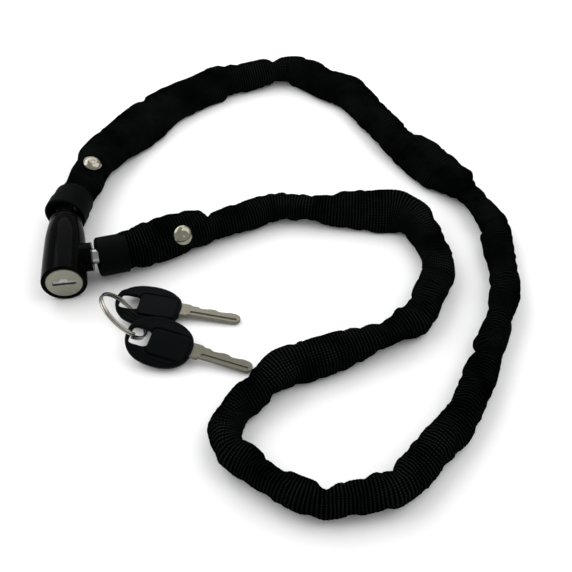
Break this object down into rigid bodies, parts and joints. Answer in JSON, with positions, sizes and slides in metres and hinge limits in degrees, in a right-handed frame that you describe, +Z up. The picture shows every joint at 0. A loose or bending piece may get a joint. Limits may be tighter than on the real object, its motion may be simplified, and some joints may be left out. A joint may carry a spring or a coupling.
{
  "type": "chain lock",
  "caption": "Sleeved chain lock: barrel lock body with a side bolt, a fabric-covered link chain riveted at both ends, and two keys on a split ring.",
  "frame": {"origin": "centre of the lock body's key face", "axes": "+Y from the key face back along the lock body, +X along the bolt out of the side port, +Z up from the surface the lock lies on"},
  "size_m": [0.2469, 0.3345, 0.0241],
  "materials": {
    "gloss_black": "gloss",
    "zinc": "cast",
    "steel": "ground",
    "spring_steel": "drawn wire",
    "collar_rubber": "matte",
    "rivet_chrome": "polished",
    "sleeve_fabric": "woven",
    "chain_steel": "zinc plated",
    "plug_nickel": "satin nickel",
    "bolt_chrome": "polished",
    "ring_chrome": "polished",
    "key_nickel": "satin nickel",
    "bow_plastic": "fine matte",
    "brass": "stamped"
  },
  "bodies": {
    "root": {"body_shell": "gloss_black", "front_ring": "gloss_black", "lock_case": "zinc", "plug_stop_pin": "steel", "anchor_pin": "steel", "latch_spring": "spring_steel", "collar_a": "collar_rubber", "rivet_a_cap": "rivet_chrome", "rivet_a_washer": "rivet_chrome", "cuff_a": "sleeve_fabric", "chain_sleeve": "sleeve_fabric", "chain_links": "chain_steel"},
    "plug": {"plug": "plug_nickel", "shutter_pin": "steel"},
    "shutter": {"dust_shutter": "steel"},
    "latch": {"latch": "steel"},
    "bolt_end": {"bolt": "bolt_chrome", "bolt_pin": "steel", "collar_b": "collar_rubber", "rivet_b_cap": "rivet_chrome", "rivet_b_washer": "rivet_chrome", "cuff_b": "sleeve_fabric", "end_links": "chain_steel"},
    "key_ring": {"split_ring": "ring_chrome"},
    "key_1": {"key_1_blade": "key_nickel", "key_1_bow": "bow_plastic"},
    "key_2": {"key_2_blade": "key_nickel", "key_2_bow": "bow_plastic"},
    "wafer_1": {"wafer_1": "brass"},
    "wafer_2": {"wafer_2": "brass"},
    "wafer_3": {"wafer_3": "brass"},
    "wafer_4": {"wafer_4": "brass"},
    "wafer_5": {"wafer_5": "brass"},
    "slack_link_1": {"slack_link_1": "chain_steel"},
    "slack_link_2": {"slack_link_2": "chain_steel"},
    "slack_link_3": {"slack_link_3": "chain_steel"}
  },
  "joints": [
    {"name": "plug_turn", "type": "hinge", "parent": "root", "child": "plug", "pos_m": [0, 0.01, 0], "axis": [0, 1, 0], "range_deg": [-90, 0]},
    {"name": "latch_slide", "type": "slide", "parent": "root", "child": "latch", "axis": [0, 1, 0], "range_m": [-0.002, 0]},
    {"name": "shutter_swing", "type": "hinge", "parent": "plug", "child": "shutter", "pos_m": [0, 0.0016, 0.0016], "axis": [1, 0, 0], "range_deg": [0, 80], "stiffness_Nm_per_rad": 0.0004, "springref_deg": -17.19},
    {"name": "bolt_pull", "type": "slide", "parent": "root", "child": "bolt_end", "axis": [1, 0, 0], "range_m": [0, 0.012]},
    {"name": "wafer_1_slide", "type": "slide", "parent": "plug", "child": "wafer_1", "axis": [1, 0, 0], "range_m": [-0.0006, 0]},
    {"name": "wafer_2_slide", "type": "slide", "parent": "plug", "child": "wafer_2", "axis": [1, 0, 0], "range_m": [-0.00024, 0]},
    {"name": "wafer_3_slide", "type": "slide", "parent": "plug", "child": "wafer_3", "axis": [1, 0, 0], "range_m": [-0.00048, 0]},
    {"name": "wafer_4_slide", "type": "slide", "parent": "plug", "child": "wafer_4", "axis": [1, 0, 0], "range_m": [-0.00012, 0]},
    {"name": "wafer_5_slide", "type": "slide", "parent": "plug", "child": "wafer_5", "axis": [1, 0, 0], "range_m": [-0.00036, 0]},
    {"name": "slack_1_slide", "type": "slide", "parent": "root", "child": "slack_link_1", "axis": [1, 0, 0], "range_m": [0, 0.003]},
    {"name": "slack_2_slide", "type": "slide", "parent": "root", "child": "slack_link_2", "axis": [0.9903, 0.1392, 0], "range_m": [0, 0.006]},
    {"name": "slack_3_slide", "type": "slide", "parent": "root", "child": "slack_link_3", "axis": [0.9962, 0.0872, 0], "range_m": [0, 0.009]},
    {"name": "keys_lift", "type": "slide", "parent": "root", "child": "key_ring", "axis": [0, 0, 1], "range_m": [0, 0.06]},
    {"name": "key_1_swing", "type": "hinge", "parent": "key_ring", "child": "key_1", "pos_m": [0.03137, -0.01244, -0.0059], "axis": [0, 0, 1], "range_deg": [0, 12]},
    {"name": "key_2_swing", "type": "hinge", "parent": "key_ring", "child": "key_2", "pos_m": [0.03589, -0.03832, -0.0033], "axis": [0, 0, 1], "range_deg": [-12, 0]}
  ],
  "couplings": [
    {"joint": "latch_slide", "follows": "plug_turn", "m_per_rad": 0.001273},
    {"joint": "wafer_2_slide", "follows": "wafer_1_slide", "ratio": 0.4},
    {"joint": "wafer_3_slide", "follows": "wafer_1_slide", "ratio": 0.8},
    {"joint": "wafer_4_slide", "follows": "wafer_1_slide", "ratio": 0.2},
    {"joint": "wafer_5_slide", "follows": "wafer_1_slide", "ratio": 0.6},
    {"joint": "slack_1_slide", "follows": "bolt_pull", "ratio": 0.25},
    {"joint": "slack_2_slide", "follows": "bolt_pull", "ratio": 0.5},
    {"joint": "slack_3_slide", "follows": "bolt_pull", "ratio": 0.75}
  ]
}
